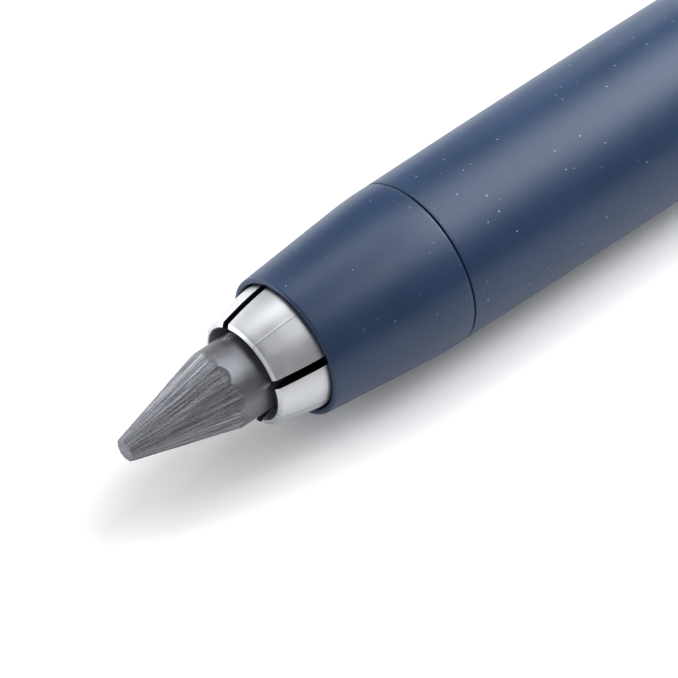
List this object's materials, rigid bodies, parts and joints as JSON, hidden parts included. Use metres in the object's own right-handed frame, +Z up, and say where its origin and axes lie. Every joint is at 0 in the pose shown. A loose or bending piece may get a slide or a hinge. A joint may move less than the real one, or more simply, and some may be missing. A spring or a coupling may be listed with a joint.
{
  "type": "lead holder",
  "caption": "Clutch lead holder with a slim round barrel, tapered nose, slotted spring collet gripping a thick sharpened lead, and a rear push button that hides a lead pointer.",
  "frame": {"origin": "on the holder's axis at the middle of the barrel's straight cylindrical grip", "axes": "+X runs along the axis from the lead's tip to the push button, +Z is up as the holder lies, +Y completes a right-handed frame"},
  "size_m": [0.1276, 0.0122, 0.0122],
  "materials": {
    "soft_navy": "matte",
    "satin_metal": "satin",
    "brass": "satin",
    "nylon": "satin",
    "spring_steel": "satin",
    "black_plastic": "satin",
    "blade_steel": "polished",
    "graphite": "satin"
  },
  "bodies": {
    "barrel": {"nose_cone": "soft_navy", "barrel": "soft_navy", "front_insert": "brass", "spring_seat": "nylon", "return_spring": "spring_steel", "rear_guide": "nylon", "rear_ferrule": "satin_metal"},
    "mechanism": {"collet_body": "satin_metal", "lead_tube": "brass", "spring_collar": "nylon", "collar_clip": "spring_steel"},
    "jaw_1": {"jaw_1": "satin_metal"},
    "jaw_2": {"jaw_2": "satin_metal"},
    "jaw_3": {"jaw_3": "satin_metal"},
    "jaw_4": {"jaw_4": "satin_metal"},
    "lead": {"lead": "graphite"},
    "button": {"push_button": "satin_metal", "button_insert": "nylon", "sharpener_body": "black_plastic", "sharpener_blade": "blade_steel", "blade_screw": "blade_steel"}
  },
  "joints": [
    {"name": "push", "type": "slide", "parent": "barrel", "child": "mechanism", "axis": [-1, 0, 0], "range_m": [0, 0.0045], "stiffness_N_per_m": 1500, "springref_m": -0.004, "deforming": ["return_spring"]},
    {"name": "jaw_1_spread", "type": "hinge", "parent": "mechanism", "child": "jaw_1", "pos_m": [-0.041, -0.00107, 0.00339], "axis": [0, 0.9537, 0.3007], "range_deg": [0, 1.5]},
    {"name": "jaw_2_spread", "type": "hinge", "parent": "mechanism", "child": "jaw_2", "pos_m": [-0.041, -0.00339, -0.00107], "axis": [0, -0.3007, 0.9537], "range_deg": [0, 1.5]},
    {"name": "jaw_3_spread", "type": "hinge", "parent": "mechanism", "child": "jaw_3", "pos_m": [-0.041, 0.00107, -0.00339], "axis": [0, -0.9537, -0.3007], "range_deg": [0, 1.5]},
    {"name": "jaw_4_spread", "type": "hinge", "parent": "mechanism", "child": "jaw_4", "pos_m": [-0.041, 0.00339, 0.00107], "axis": [0, 0.3007, -0.9537], "range_deg": [0, 1.5]},
    {"name": "lead_slide", "type": "slide", "parent": "mechanism", "child": "lead", "axis": [-1, 0, 0], "range_m": [-0.0105, 0.03]},
    {"name": "button_off", "type": "slide", "parent": "mechanism", "child": "button", "axis": [1, 0, 0], "range_m": [0, 0.014]}
  ],
  "couplings": [
    {"joint": "jaw_1_spread", "follows": "push", "rad_per_m": 5.8},
    {"joint": "jaw_2_spread", "follows": "push", "rad_per_m": 5.8},
    {"joint": "jaw_3_spread", "follows": "push", "rad_per_m": 5.8},
    {"joint": "jaw_4_spread", "follows": "push", "rad_per_m": 5.8}
  ]
}
